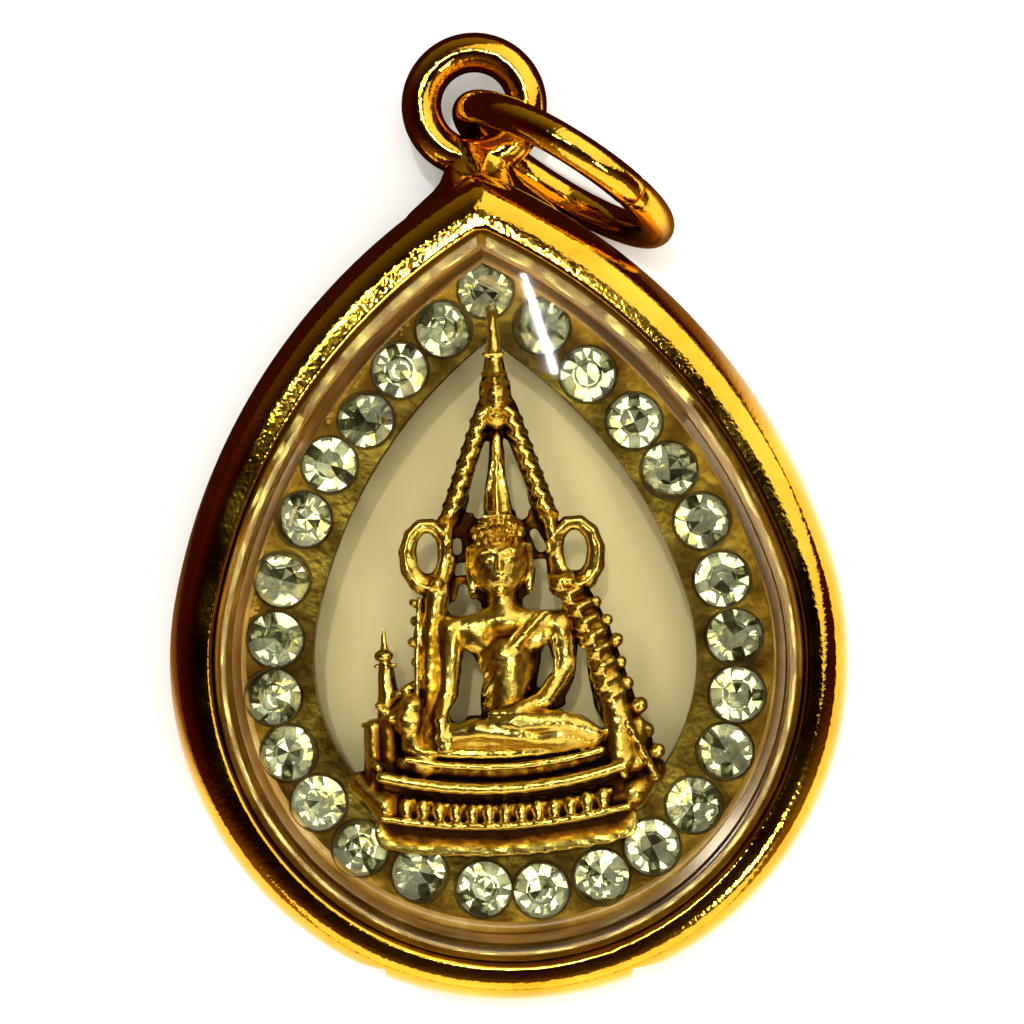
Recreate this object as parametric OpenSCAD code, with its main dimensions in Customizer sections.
// Teardrop pendant: a gilt band round a clear case, with a stone-set plate and a pierced cast figure in it.
// It lies on its back: +Z is the front, +Y runs up to the eye, and the origin is the middle of its base.

/* [Case] */
// Radius of the round lower part, outside the gilt band
case_r = 11.2; // [10:0.1:13]
// Radius of the two long side arcs, outside the gilt band
side_r = 20.4; // [18:0.1:24]
// Angle above the middle at which the side arcs take over
side_from = 13.5; // [8:0.5:20]
// Thickness of the clear case, back to front
case_t = 8; // [7.2:0.1:10]
// How far each face of the clear case stands proud of the band
proud = 0.25; // [0.1:0.05:0.5]
// Thickness of the clear window and of the clear back
pane_t = 1; // [0.7:0.05:1.3]
// Thickness of the clear front half's wall
wall_t = 0.4; // [0.3:0.05:0.6]
// Rounding of the window's edge
pane_round = 0.25; // [0.1:0.05:0.4]
// Thickness of the clear back half's standing wall
inner_wall_t = 0.6; // [0.4:0.05:0.9]
// Height of the back half's wall over the back face, which carries the plate
shelf_z = 3.6; // [2.5:0.1:4.2]

/* [Band] */
// How far the band's lips lie inside its widest line
lip_in = 1.4; // [1:0.05:1.8]
// Flat width of each lip
lip_w = 0.16; // [0.1:0.02:0.3]
// Fullness of the band's rounded side, where 2 is a plain ellipse
fullness = 2.3; // [2:0.1:3]
// Width of the filed facet down the mitre at the tip
rib_w = 0.45; // [0.3:0.05:0.8]
// How far the filed facet stands over the mitre
rib_rise = 0.08; // [0.04:0.01:0.15]
// Length of the foot along the bottom of the band
foot_l = 8.4; // [6:0.1:10]
// How far the foot sits to the left of the middle
foot_off = 0.7; // [0:0.1:1.5]
// Depth of the nick at each end of the foot
nick_d = 0.45; // [0.25:0.05:0.7]
// Length of the slope that runs out of each nick
nick_l = 1.7; // [1:0.1:2.5]

/* [Eye and jump ring] */
// Thickness of the eye's wire
eye_wire = 1.33; // [1.1:0.01:1.6]
// Clear hole through the eye
eye_hole = 2.2; // [2:0.05:3]
// How far the eye's wire is let into the tip of the band
eye_sink = 0.14; // [0.08:0.02:0.4]
// Thickness of the jump ring's wire
ring_wire = 1.15; // [0.9:0.01:1.3]
// Outside diameter of the jump ring
ring_d = 8.5; // [8:0.1:10]
// Angle below the horizontal at which the jump ring lies
ring_drop = 35.5; // [25:0.5:40]
// Lean of the jump ring from upright
ring_lean = 7; // [0:0.5:10]
// How far the jump ring lies off the eye's middle, towards the shoulder
ring_off = 0.3; // [0:0.05:0.35]
// Width of the cut in the jump ring
ring_cut = 0.06; // [0.03:0.01:0.2]
// Place of the cut, as an angle round the ring from its far end to the front
ring_cut_at = 49; // [20:1:120]

/* [Setting plate] */
// Gap between the plate and the clear front half's wall
plate_gap = 0.3; // [0.25:0.05:0.5]
// Width of the plate between its two edges
plate_w = 2.5; // [2.3:0.05:2.9]
// Thickness of the plate
plate_t = 1; // [0.8:0.05:1.3]
// Turn of the plate in the case, to the left at the bottom
plate_turn = 0.7; // [0:0.1:0.7]

/* [Stones] */
// Number of stones round the plate
stone_n = 27; // [19:2:27]
// Diameter of a stone at its girdle
stone_d = 1.86; // [1.5:0.01:1.88]
// How far the row lies outside the middle of the plate's width
row_off = 0.1; // [0:0.02:0.12]
// Height of the girdle over the plate's face
stone_lift = 0.03; // [0.02:0.01:0.08]
// Angle of the crown's main facets
crown_angle = 34; // [28:1:38]
// Angle of the pavilion's main facets
pavilion_angle = 41; // [38:1:44]
// How unevenly the stones are set, where 0 is an even row
unevenness = 1; // [0:0.25:1]

/* [Figure] */
// Depth of the cast relief
relief = 1.95; // [1.5:0.05:2.1]
// Thickness of the pierced ground that the relief stands on
ground_t = 0.8; // [0.6:0.05:1]
// Number of petals round the lotus base
petal_n = 13; // [7:2:17]
// Number of twists in each arm of the arch
twist_n = 9; // [6:1:12]
// Thickness of the arch's arms
arm_t = 0.84; // [0.6:0.02:0.9]
// Thickness of the curls beside the head
curl_t = 0.52; // [0.35:0.01:0.65]

/* [Hidden] */
// Running clearance between pieces that touch on the real pendant
fit = 0.05;
// Gap between flat faces that lie on each other
seat_gap = 0.02;
// Overlap that joins shapes of one piece
bite = 0.05;
// Fineness of round shapes
$fn = 96;

// Places that follow from the sizes above
mid_z = case_t / 2;
band_h = case_t - 2 * proud;
side_cx = (side_r - case_r) * cos(side_from);
side_cy = -(side_r - case_r) * sin(side_from);
function tip_y(d) = side_cy + sqrt(pow(side_r - d, 2) - pow(side_cx, 2));
eye_r = (eye_hole + eye_wire) / 2;
eye_y = tip_y(0) + eye_r + eye_wire / 2 - eye_sink;
length_all = eye_y + eye_r + eye_wire / 2 + case_r;
base_y = case_r - length_all / 2;
ring_r = (ring_d - ring_wire) / 2;
ring_z = ring_r * cos(ring_lean) + ring_wire / 2 + seat_gap;

// Insets of the layers, measured inwards from the band's widest line
case_in = lip_in + lip_w + fit;
cavity_in = case_in + wall_t;
inner_wall_in = cavity_in + fit;
plate_in = cavity_in + plate_gap;
window_in = plate_in + plate_w;
row_in = plate_in + plate_w / 2 - row_off;
plate_z = shelf_z + seat_gap;
face_z = plate_z + plate_t;

// The row of stones: lengths of its arcs, from the tip down one side and round to the middle of the bottom
row_side_r = side_r - row_in;
row_low_r = case_r - row_in;
row_tip_angle = acos(side_cx / row_side_r);
row_side_l = row_side_r * (row_tip_angle - side_from) * PI / 180;
row_low_l = row_low_r * (90 + side_from) * PI / 180;
row_l = 2 * (row_side_l + row_low_l);

// How the stones were set by hand, clockwise from the tip: [share of a place along, of a stone outwards]
SET_BY_HAND = [
    [0, 0], [0.1, 0], [0.2, -0.13], [0.3, -0.08], [0.3, -0.08], [0.3, 0], [0.32, -0.05],
    [0.3, -0.05], [0.25, 0.03], [0.2, 0.1], [0.2, 0.1], [0.15, 0.1], [0.1, 0.1], [0.1, 0.03],
    [0.05, -0.03], [0.15, -0.03], [0.2, 0.1], [0.2, 0.05], [0.15, 0.05], [0.1, 0.03], [0.05, -0.05],
    [0.05, 0.03], [0.1, 0], [0.1, 0], [0.05, -0.13], [0.05, -0.05], [0.05, -0.08]
];

// A stone's table as a share of its girdle, and the height of its crown
table_share = 0.56;
crown_h = stone_d / 2 * (1 - table_share) * tan(crown_angle);

// The figure is drawn in hundredths of the window's height, upwards from the bottom of the window
window_low = -(case_r - window_in);
unit = (tip_y(window_in) - window_low) / 100;
figure_z = face_z + seat_gap;

function two_digits(i) = str(i < 10 ? "0" : "", i);
function stone_name(i) = str("stone_", two_digits(i));
STONES = [for (i = [1 : stone_n]) stone_name(i)];

// Teardrop outline, d inside the band's widest line
module drop(d) {
    chord_y = (case_r - d) * sin(side_from);
    difference() {
        circle(case_r - d);
        translate([-2 * case_r, chord_y]) square([4 * case_r, 2 * case_r]);
    }
    intersection() {
        translate([-side_cx, side_cy]) circle(side_r - d);
        translate([side_cx, side_cy]) circle(side_r - d);
        translate([-2 * case_r, chord_y]) square([4 * case_r, 2 * side_r]);
    }
}

// Carries a section round the teardrop: in the section, -x is the inset and y is the height
module along_drop() {
    rotate([0, 0, 180 - side_from])
        rotate_extrude(angle = 180 + 2 * side_from)
            translate([case_r, 0]) children();
    for (side = [0, 1])
        mirror([side, 0, 0])
            intersection() {
                translate([-side_cx, side_cy, 0])
                    rotate([0, 0, side_from])
                        rotate_extrude(angle = 80 - side_from)
                            translate([side_r, 0]) children();
                translate([0, -side_r, -case_t]) cube([2 * side_r, 3 * side_r, 3 * case_t]);
            }
}

// Half height of the band's rounded side at inset d
function band_half(d) = band_h / 2 * pow(1 - pow(1 - d / lip_in, fullness), 1 / fullness);

// Section of the band: a full rounded side, a narrow flat lip at each face and a straight bore for the case
module band_section() {
    steps = 7;
    insets = [for (i = [0 : steps]) lip_in * (1 - cos(90 * i / steps))];
    front = [for (d = insets) [-d, mid_z + band_half(d)]];
    back = [for (i = [steps : -1 : 1]) [-insets[i], mid_z - band_half(insets[i])]];
    bore = -lip_in - lip_w;
    polygon(concat(front, [[bore, mid_z + band_h / 2], [bore, mid_z - band_h / 2]], back));
}

// Nick at one end of the foot: steep on the foot's side, and a long slope on the other
module nick(side) {
    middle = -foot_off / case_r * 180 / PI;
    angle = middle + side * foot_l / 2 / case_r * 180 / PI;
    rotate([0, 0, angle])
        translate([0, -case_r, mid_z - case_t])
            linear_extrude(2 * case_t)
                polygon([
                    [0, nick_d],
                    [-side * 0.25 * nick_d, -nick_d],
                    [side * nick_l * 2, -nick_d]
                ]);
}

// Filed facet that follows the mitre from the eye down to the front lip, and the same at the back
module mitre_rib() {
    steps = 8;
    reach = tip_y(0) - tip_y(lip_in);
    ys = [for (i = [0 : steps]) tip_y(0) - reach * pow(i / steps, 1.6)];
    insets = [for (y = ys) side_r - sqrt(pow(side_cx, 2) + pow(y - side_cy, 2))];
    front = [for (i = [0 : steps]) [ys[i], mid_z + band_half(min(lip_in, insets[i])) + rib_rise]];
    back = [for (i = [steps : -1 : 0]) [ys[i], mid_z - band_half(min(lip_in, insets[i])) - rib_rise]];
    translate([-rib_w / 2, 0, 0])
        rotate([90, 0, 90])
            linear_extrude(rib_w) polygon(concat(front, back));
}

// Solder neck between the eye and the shoulders: wide below, as thick as the eye's wire above
module neck() {
    top_y = eye_y - eye_r + bite;
    low_y = tip_y(lip_in * 0.7);
    root_y = tip_y(0) - eye_sink;
    intersection() {
        translate([0, 0, mid_z - case_t])
            linear_extrude(2 * case_t)
                polygon([
                    [-eye_wire * 1.3, low_y],
                    [eye_wire * 1.3, low_y],
                    [eye_wire * 0.78, root_y],
                    [eye_wire * 0.66, top_y],
                    [-eye_wire * 0.66, top_y],
                    [-eye_wire * 0.78, root_y]
                ]);
        translate([-case_r, 0, 0])
            rotate([90, 0, 90])
                linear_extrude(2 * case_r)
                    polygon([
                        [low_y, mid_z + band_h * 0.4],
                        [root_y, mid_z + eye_wire * 0.95],
                        [top_y, mid_z + eye_wire * 0.45],
                        [top_y, mid_z - eye_wire * 0.45],
                        [root_y, mid_z - eye_wire * 0.95],
                        [low_y, mid_z - band_h * 0.4]
                    ]);
    }
}

module frame() {
    color("goldenrod")
        translate([0, base_y, 0]) {
            difference() {
                union() {
                    along_drop() band_section();
                    mitre_rib();
                    neck();
                }
                translate([0, 0, mid_z - case_t]) linear_extrude(2 * case_t) drop(lip_in + lip_w);
                nick(-1);
                nick(1);
            }
            translate([0, eye_y, mid_z])
                rotate_extrude() translate([eye_r, 0]) circle(eye_wire / 2);
        }
}

// Clear back half: the back pane, and the standing wall on whose top the plate lies
module case_back() {
    color([0.93, 0.93, 0.88, 0.35])
        translate([0, base_y, 0]) {
            linear_extrude(pane_t) drop(case_in);
            linear_extrude(shelf_z)
                difference() {
                    drop(inner_wall_in);
                    drop(inner_wall_in + inner_wall_t);
                }
        }
}

// Clear front half: the window with its rounded edge, and the wall that slips over the back half
module case_front() {
    color([0.95, 0.95, 0.9, 0.35])
        translate([0, base_y, 0]) {
            along_drop()
                polygon([
                    [-case_in, pane_t + fit],
                    [-case_in, case_t - pane_round],
                    [-case_in - pane_round * 0.3, case_t - pane_round * 0.3],
                    [-case_in - pane_round, case_t],
                    [-cavity_in - bite, case_t],
                    [-cavity_in - bite, case_t - pane_t],
                    [-cavity_in, case_t - pane_t],
                    [-cavity_in, pane_t + fit]
                ]);
            translate([0, 0, case_t - pane_t]) linear_extrude(pane_t) drop(cavity_in);
        }
}

// Place on the row's line at length s from the tip, clockwise: [x, y, angle of the outward normal]
function row_half(s) =
    s < row_side_l
        ? let (a = row_tip_angle - s / row_side_r * 180 / PI)
            [-side_cx + row_side_r * cos(a), side_cy + row_side_r * sin(a), a]
        : let (a = side_from - (s - row_side_l) / row_low_r * 180 / PI)
            [row_low_r * cos(a), row_low_r * sin(a), a];
function row_at(s) =
    s <= row_l / 2 ? row_half(s) : let (p = row_half(row_l - s)) [-p[0], p[1], 180 - p[2]];

// Puts a stone or its seat in place i, a little off the even row as hand-set stones are
module in_row(i) {
    slip = unevenness * SET_BY_HAND[i - 1][0];
    out = unevenness * stone_d * SET_BY_HAND[i - 1][1];
    p = row_at((i - 1 + slip) * row_l / stone_n);
    translate([0, base_y, 0])
        turned()
            translate([p[0] + out * cos(p[2]), p[1] + out * sin(p[2]), 0])
                children();
}

// The plate and what it carries sit a little askew in the case, turned about the tip of the row
module turned() {
    pivot_y = tip_y(row_in);
    translate([0, pivot_y, 0]) rotate([0, 0, -plate_turn]) translate([0, -pivot_y, 0]) children();
}

module setting_ring() {
    seat_r = stone_d / 2 + seat_gap;
    open_r = seat_r * 0.55;
    cone_h = (seat_r - open_r) * tan(pavilion_angle);
    color("darkgoldenrod")
        difference() {
            translate([0, base_y, plate_z])
                turned()
                    linear_extrude(plate_t)
                        difference() {
                            drop(plate_in);
                            drop(window_in);
                        }
            for (i = [1 : stone_n])
                in_row(i) {
                    translate([0, 0, plate_z - bite])
                        cylinder(h = plate_t + 2 * bite, r = open_r, $fn = 24);
                    translate([0, 0, face_z - cone_h])
                        cylinder(h = cone_h * 1.2, r1 = open_r, r2 = seat_r * 1.2 - open_r * 0.2, $fn = 24);
                }
        }
}

// Cut stone: octagonal table, star, main and girdle facets over a thin girdle, and a pointed pavilion
module cut_stone() {
    r = stone_d / 2;
    table_r = r * table_share;
    star_r = r * 0.8;
    lower_r = r * 0.28;
    girdle_t = r * 0.05;
    pavilion_h = r * tan(pavilion_angle);
    star_z = crown_h * (r - star_r * cos(22.5)) / (r - table_r);
    lower_z = -girdle_t - pavilion_h * (1 - lower_r / r * cos(22.5));
    table = [for (k = [0 : 7]) [table_r * cos(45 * k), table_r * sin(45 * k), crown_h]];
    star = [for (k = [0 : 7]) [star_r * cos(45 * k + 22.5), star_r * sin(45 * k + 22.5), star_z]];
    upper = [for (k = [0 : 15]) [r * cos(22.5 * k), r * sin(22.5 * k), 0]];
    under = [for (p = upper) [p[0], p[1], -girdle_t]];
    lower = [for (k = [0 : 7]) [lower_r * cos(45 * k + 22.5), lower_r * sin(45 * k + 22.5), lower_z]];
    culet = [[0, 0, -girdle_t - pavilion_h]];
    faces = concat(
        [[for (k = [7 : -1 : 0]) k]],
        [for (k = [0 : 7]) [k, (k + 1) % 8, 8 + k]],
        [for (k = [0 : 7]) [k, 8 + k, 16 + 2 * k]],
        [for (k = [0 : 7]) [k, 16 + 2 * k, 8 + (k + 7) % 8]],
        [for (k = [0 : 7]) [8 + k, 16 + (2 * k + 1) % 16, 16 + 2 * k]],
        [for (k = [0 : 7]) [8 + k, 16 + (2 * k + 2) % 16, 16 + (2 * k + 1) % 16]],
        [for (k = [0 : 15]) [16 + k, 16 + (k + 1) % 16, 32 + (k + 1) % 16]],
        [for (k = [0 : 15]) [16 + k, 32 + (k + 1) % 16, 32 + k]],
        [for (k = [0 : 7]) [32 + 2 * k, 32 + (2 * k + 1) % 16, 48 + k]],
        [for (k = [0 : 7]) [32 + (2 * k + 1) % 16, 32 + (2 * k + 2) % 16, 48 + k]],
        [for (k = [0 : 7]) [32 + 2 * k, 48 + k, 56]],
        [for (k = [0 : 7]) [32 + 2 * k, 56, 48 + (k + 7) % 8]]
    );
    polyhedron(points = concat(table, star, upper, under, lower, culet), faces = faces);
}

module stone(i) {
    color([0.82, 0.86, 0.8])
        in_row(i) translate([0, 0, face_z + stone_lift]) rotate([0, 0, 137.5 * i]) cut_stone();
}

// Point of the figure: x and y in hundredths of the window's height, z as a share of the relief's depth
function at(p) = [p[0] * unit, p[1] * unit, p[2] * relief];

// Ball of the casting at a point, its radius in hundredths of the window's height
module ball(p, r, sides = 8) {
    translate(at(p)) sphere(r * unit, $fn = sides);
}

// Chain of rounded limbs through rows of [x, y, depth, radius]
module limbs(rows, sides = 8) {
    for (i = [0 : len(rows) - 2])
        hull() {
            ball(rows[i], rows[i][3], sides);
            ball(rows[i + 1], rows[i + 1][3], sides);
        }
}

// Flat chain of round-ended bars through rows of [x, y, radius]
module web(rows) {
    for (i = [0 : len(rows) - 2])
        hull()
            for (p = [rows[i], rows[i + 1]])
                translate([p[0], p[1]]) circle(p[2], $fn = 14);
}

// Ends of an arm of the arch, at the apex and above the ear
function arm_top(side) = [0.9 + side * 1.7, 86.5];
function arm_foot(side) = [0.2 + side * 9.3, 65];

// Pierced ground of the casting: everything that the relief stands on, and the openings through it
module ground() {
    arm_r = arm_t / 2 / unit;
    linear_extrude(ground_t)
        scale([unit, unit])
            difference() {
                union() {
                    web([[-20, 9.5, 6.4], [-1, 7.4, 6.4], [17.5, 9.5, 6.4]]);
                    web([[-18, 18, 4], [18, 18, 4]]);
                    web([[-29, 14.5, 2.4], [-24.5, 10.5, 3.4]]);
                    web([[27.5, 14.6, 2.4], [23.5, 11, 3.6]]);
                    web([[-12, 51, 3], [-13.2, 43, 4.4], [-13.6, 34, 4.2], [-14.6, 26, 4.6], [-16, 18, 5]]);
                    web([[14, 50, 3], [17.8, 42, 3.4], [19.6, 34, 3.8], [21.4, 26, 4.4], [22, 18, 5.4]]);
                    web([[0, 25, 5], [0.4, 33, 5.6], [0.4, 41, 7.6]]);
                    web([[-9.5, 43.6, 3.4], [0.4, 44.6, 4], [10.8, 43.2, 3.4]]);
                    web([[11.2, 43, 3.2], [11.8, 36, 2.3], [9.4, 30, 2.6], [3, 27.4, 2.6]]);
                    web([[-11, 23.8, 3.2], [16, 23, 3]]);
                    web([[-7.4, 49.6, 4.6], [0, 50, 4], [7.8, 50.4, 5]]);
                    web([[0, 54.6, 5], [-0.2, 59, 6], [0, 62, 4.6]]);
                    web([[-8.4, 60, 3.6], [8.4, 60, 3.6]]);
                    web([[-9.6, 64.6, 2], [9.8, 64.6, 2]]);
                    web([[-9.8, 64.6, 1.9], [-10.6, 57, 1.6], [-12, 51, 2.4]]);
                    web([[10, 64.6, 1.9], [11, 57, 1.5], [13, 51, 2.4]]);
                    for (side = [-1, 1])
                        web([concat(arm_top(side), arm_r), concat(arm_foot(side), arm_r)]);
                    web([[0.2, 64, 3.4], [0, 68.5, 2.8], [0.3, 74, 1.8], [0.7, 82, 1.4]]);
                    web([[0.8, 84, 3.4], [0.8, 90, 3.2], [0.9, 94.5, 2.3]]);
                    web([[0.9, 94.5, 2.1], [1, 104.4, 1.2]]);
                }
                web([[-3.6, 66, 1], [-3.9, 70, 1.4], [-2.7, 75, 1], [-1.4, 79.6, 0.5]]);
                web([[4.8, 65.6, 1.2], [4.7, 70, 1.4], [3.4, 75, 1], [2.4, 79.6, 0.5]]);
                web([[-14, 60.4, 2.1], [-14, 56.8, 2.2]]);
                web([[14.4, 59.4, 2], [14.4, 55.8, 2.1]]);
                web([[-8.1, 60.4, 1], [-8.1, 59.2, 1]]);
                web([[7, 61.6, 0.9], [8.2, 58.8, 1]]);
                web([[-7.4, 51.6, 0.9], [-7.6, 48, 1.9]]);
                web([[-9.2, 47.8, 1.5], [-5.4, 48, 1.5]]);
                web([[8, 54.6, 1.2], [7.8, 50.6, 1.6], [7.8, 49, 2]]);
                web([[5.4, 48.4, 1.5], [7.8, 48.6, 2], [10.6, 47.8, 1.3]]);
                web([[-6.9, 37.6, 1.2], [-5.9, 34, 1.6], [-7.2, 30.4, 2], [-9.6, 27.4, 1.8]]);
                web([[8, 38, 1], [8.3, 35.2, 1.1]]);
                web([[15, 38, 0.9], [14.8, 33, 1.2], [13.4, 29, 2.1], [15.4, 27, 1.5], [18.4, 23.4, 0.5]]);
            }
}

// Height of a curved line of the base at x: it dips by sag from its ends, w away, to the middle
function dip(y, sag, w, x) = y - sag * (1 - pow(x / w, 2));

// Curved step of the lotus base, between two dipping lines
module step(w, low_y, low_sag, high_y, high_sag, depth) {
    n = 10;
    xs = [for (i = [0 : n]) w * (2 * i / n - 1)];
    low = [for (x = xs) [x * unit, dip(low_y, low_sag, w, x) * unit]];
    high = [for (i = [n : -1 : 0]) [xs[i] * unit, dip(high_y, high_sag, w, xs[i]) * unit]];
    linear_extrude(depth * relief) polygon(concat(low, high));
}

// Lotus base: a plain drum, a row of petals between two raised rims, and the seat's steps
module lotus_base() {
    translate([-1.4 * unit, 0, 0]) {
        step(24.2, 5, 3.4, 8.8, 3.4, 0.74);
        step(23.4, 8.2, 3.4, 9.8, 3.4, 0.92);
        step(22.6, 9.6, 3.4, 14.6, 3, 0.6);
        for (i = [0 : petal_n - 1]) {
            x = 21 * (2 * (i + 0.5) / petal_n - 1);
            y = dip(12.2, 3.2, 22, x);
            hull() {
                ball([x, y + 1, 0.62], 1.5, 6);
                ball([x, y - 1.1, 0.74], 0.9, 6);
            }
        }
        step(23.6, 14.2, 3.2, 16.4, 3.6, 0.92);
        step(19.6, 16, 3.2, 18.4, 2.4, 0.74);
        step(18, 18, 2.4, 22.6, 1.2, 0.66);
    }
    limbs([[-29.4, 15, 0.2, 2.4], [-24.5, 10.4, 0.3, 3.4]]);
    limbs([[28, 14.8, 0.2, 2.4], [23.5, 10.6, 0.3, 3.6]]);
}

// Seated body: crossed legs, waist and chest, one hand over the knee and the other in the lap
module body() {
    limbs([[-11.4, 22.8, 0.5, 3], [-2, 23.4, 0.64, 3.4], [9, 23, 0.64, 3.4], [16.4, 22.4, 0.5, 2.8]], 12);
    limbs([[-8.4, 25.6, 0.66, 2], [1, 25.8, 0.8, 2.4], [10.6, 24.6, 0.76, 2]], 10);
    hull() {
        ball([-2.8, 28.4, 0.4], 3, 12);
        ball([3.6, 28.4, 0.4], 3, 12);
        ball([0.3, 31, 0.54], 3.6, 12);
    }
    hull() {
        ball([-1.6, 31, 0.44], 3.6, 12);
        ball([2.4, 31, 0.44], 3.6, 12);
        ball([-4, 41, 0.46], 4.4, 12);
        ball([4.8, 41, 0.46], 4.4, 12);
        ball([0.4, 40, 0.6], 4.4, 12);
    }
    limbs([[-9.2, 43.8, 0.42, 3.4], [0.4, 44.8, 0.48, 3.6], [10.4, 43.4, 0.42, 3.4]], 12);
    limbs([[0.3, 45, 0.44, 3.4], [0.2, 51, 0.42, 3.2]], 10);
    limbs([[-10, 43.8, 0.44, 3.2], [-10.8, 36, 0.46, 2.8], [-12.8, 27, 0.6, 2.1]], 10);
    limbs([[-12.8, 27, 0.62, 2.1], [-12.6, 22.4, 0.72, 1.5]]);
    limbs([[11, 43.4, 0.44, 3.2], [11.7, 35.8, 0.48, 2.3], [7.4, 29.4, 0.66, 2.1], [1, 27.4, 0.78, 1.8]], 10);
    limbs([[9, 46, 0.56, 1.2], [4.6, 42.4, 0.78, 1.1], [0, 38, 0.82, 1], [-4.4, 31, 0.62, 0.9]], 6);
}

// Head with long ears, a low band of hair, and the tall flame that rises from the crown
module head() {
    hull() {
        ball([0, 52.2, 0.5], 2.7, 12);
        ball([-0.1, 56.6, 0.46], 5.2, 12);
        ball([-0.1, 59.6, 0.44], 5.2, 12);
        ball([-0.1, 56.8, 0.64], 3.6, 12);
    }
    for (side = [-1, 1]) {
        limbs([[side * 5.6, 59.4, 0.4, 1.4], [side * 5.8, 53, 0.42, 1.1]]);
        ball([side * 2.2, 57.2, 0.8], 1);
    }
    limbs([[-0.1, 58.4, 0.78, 0.7], [-0.1, 55.6, 0.88, 0.9]]);
    limbs([[-1.2, 53.6, 0.74, 0.7], [1, 53.6, 0.74, 0.7]]);
    limbs([[-5, 60.8, 0.46, 1.8], [-0.1, 62, 0.66, 2], [4.8, 60.8, 0.46, 1.8]], 10);
    ball([-0.1, 62.4, 0.46], 4.6, 12);
    limbs([[0.2, 64.6, 0.46, 3.2], [0, 68.8, 0.46, 2.7], [0.4, 74, 0.42, 1.8], [0.7, 82, 0.4, 1.4]]);
}

// One arm of the arch, wound with slanted twists from the apex to above the ear
module twisted_arm(side) {
    top = arm_top(side);
    foot = arm_foot(side);
    r = arm_t / 2 / unit;
    for (i = [0 : twist_n - 1]) {
        c = top + (foot - top) * (i + 0.5) / twist_n;
        hull() {
            ball([c[0] - side * r * 0.55, c[1] + r * 0.4, 0.42], r * 0.62);
            ball([c[0] + side * r * 0.6, c[1] - r * 0.45, 0.42], r * 0.62);
        }
    }
}

// Open curl beside the head, thicker at its lower end
module curl(side) {
    n = 10;
    r = curl_t / 2 / unit;
    limbs([for (i = [0 : n]) [
        side * (14.2 + 3.9 * cos(360 * i / n)),
        58.2 + 5.8 * sin(360 * i / n),
        0.36,
        r * (1.15 - 0.3 * sin(360 * i / n))
    ]]);
}

// Rounded fronts of the pillars, with the small flames down their outer edges
module pillars() {
    limbs([[-9.8, 64.8, 0.42, 1.9], [-10.6, 57, 0.4, 1.6], [-12.4, 50.6, 0.42, 2.8], [-14.4, 43, 0.42, 3],
        [-14.8, 33, 0.44, 3.2], [-16, 24, 0.46, 3.8], [-17, 18, 0.46, 4]]);
    limbs([[10, 64.8, 0.42, 1.9], [11, 57, 0.4, 1.5], [13.8, 50.2, 0.42, 2.8], [17.8, 42.6, 0.42, 3],
        [19.8, 34, 0.44, 3.2], [21.6, 25, 0.46, 3.8], [22, 17.6, 0.46, 4.2]]);
    flames = [[-17.6, 46, 1], [-18.2, 42, 1], [-17.8, 38, 1], [18.6, 48, 1.3], [20.6, 44.4, 1.3],
        [22.2, 40.4, 1.5], [22.8, 36, 1.4], [23.8, 32, 1.5], [26, 27.6, 1.9], [27, 22.6, 1.8],
        [29, 18.6, 1.7]];
    for (f = flames) {
        out = f[0] > 0 ? 1 : -1;
        hull() {
            ball([f[0] - out * 2.2, f[1] - 2, 0.3], f[2] * 1.3, 6);
            ball([f[0], f[1], 0.36], f[2] * 0.6, 6);
        }
    }
}

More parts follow.
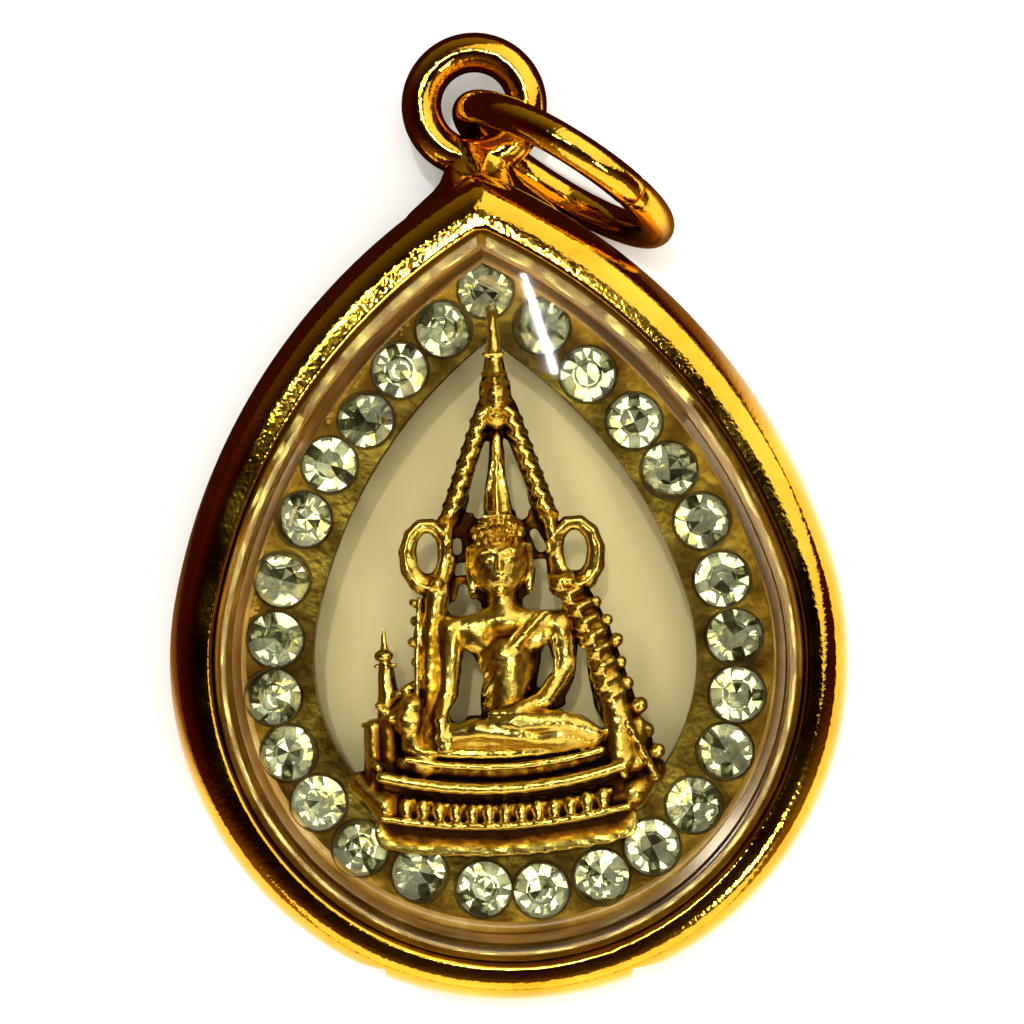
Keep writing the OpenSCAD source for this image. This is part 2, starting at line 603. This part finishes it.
// Small attendants and posts that stand on the base beside the figure, and the leaf by the hand
module attendants() {
    limbs([[-23.4, 15.2, 0.34, 2.6], [-23, 30, 0.38, 2.3], [-23.2, 36.4, 0.38, 1.7]]);
    limbs([[-23.2, 36.4, 0.38, 1.3], [-23.2, 43, 0.38, 0.5]], 6);
    ball([-23.2, 39.6, 0.38], 1.5);
    limbs([[-21, 27.6, 0.46, 3], [-18.4, 29, 0.56, 2.8], [-18, 22, 0.52, 3]]);
    limbs([[-21, 32, 0.46, 1.2], [-17.8, 33.4, 0.46, 0.8]], 6);
    limbs([[-26.2, 15, 0.3, 2.4], [-26.2, 25.4, 0.34, 2]]);
    limbs([[24, 17, 0.46, 3], [25, 23.6, 0.46, 2]], 6);
}

// Stepped spire over the arch's apex, up to the tip that is fixed on the plate
module spire() {
    limbs([[0.8, 84.4, 0.42, 3], [0.8, 89, 0.44, 3.1], [0.9, 93, 0.4, 2.2]]);
    limbs([[0.9, 92.4, 0.4, 2.6], [0.9, 97, 0.36, 1.6]], 6);
    limbs([[0.9, 96.4, 0.36, 2], [1, 104, 0.3, 1.1]], 6);
}

// The casting, cut off at the top of its relief and clear of the stones that it partly covers
module figure() {
    color("gold")
        difference() {
            translate([0, base_y, 0])
                turned()
                    translate([0, window_low, figure_z])
                        intersection() {
                            translate([-case_r, -case_r, 0]) cube([2 * case_r, 4 * case_r, 1.02 * relief]);
                            union() {
                                ground();
                                lotus_base();
                                body();
                                head();
                                for (side = [-1, 1]) {
                                    twisted_arm(side);
                                    curl(side);
                                }
                                pillars();
                                attendants();
                                spire();
                            }
                        }
            for (i = [1 : stone_n])
                in_row(i)
                    translate([0, 0, face_z - bite])
                        cylinder(h = stone_lift + crown_h + fit + bite, r = stone_d / 2 + fit, $fn = 24);
        }
}

// Split ring of round wire: it stands in the eye and leans along the right shoulder
module jump_ring() {
    cut_angle = ring_cut / ring_r * 180 / PI;
    color("goldenrod")
        translate([0, base_y + eye_y, 0])
            rotate([0, 0, -ring_drop])
                translate([ring_r, -ring_off, ring_z])
                    rotate([90 - ring_lean, 0, 0])
                        rotate([0, 0, ring_cut_at + cut_angle / 2])
                            rotate_extrude(angle = 360 - cut_angle)
                                translate([ring_r, 0]) circle(ring_wire / 2, $fn = 48);
}

frame();
case_back();
case_front();
setting_ring();
figure();
jump_ring();
for (i = [1 : stone_n])
    stone(i);
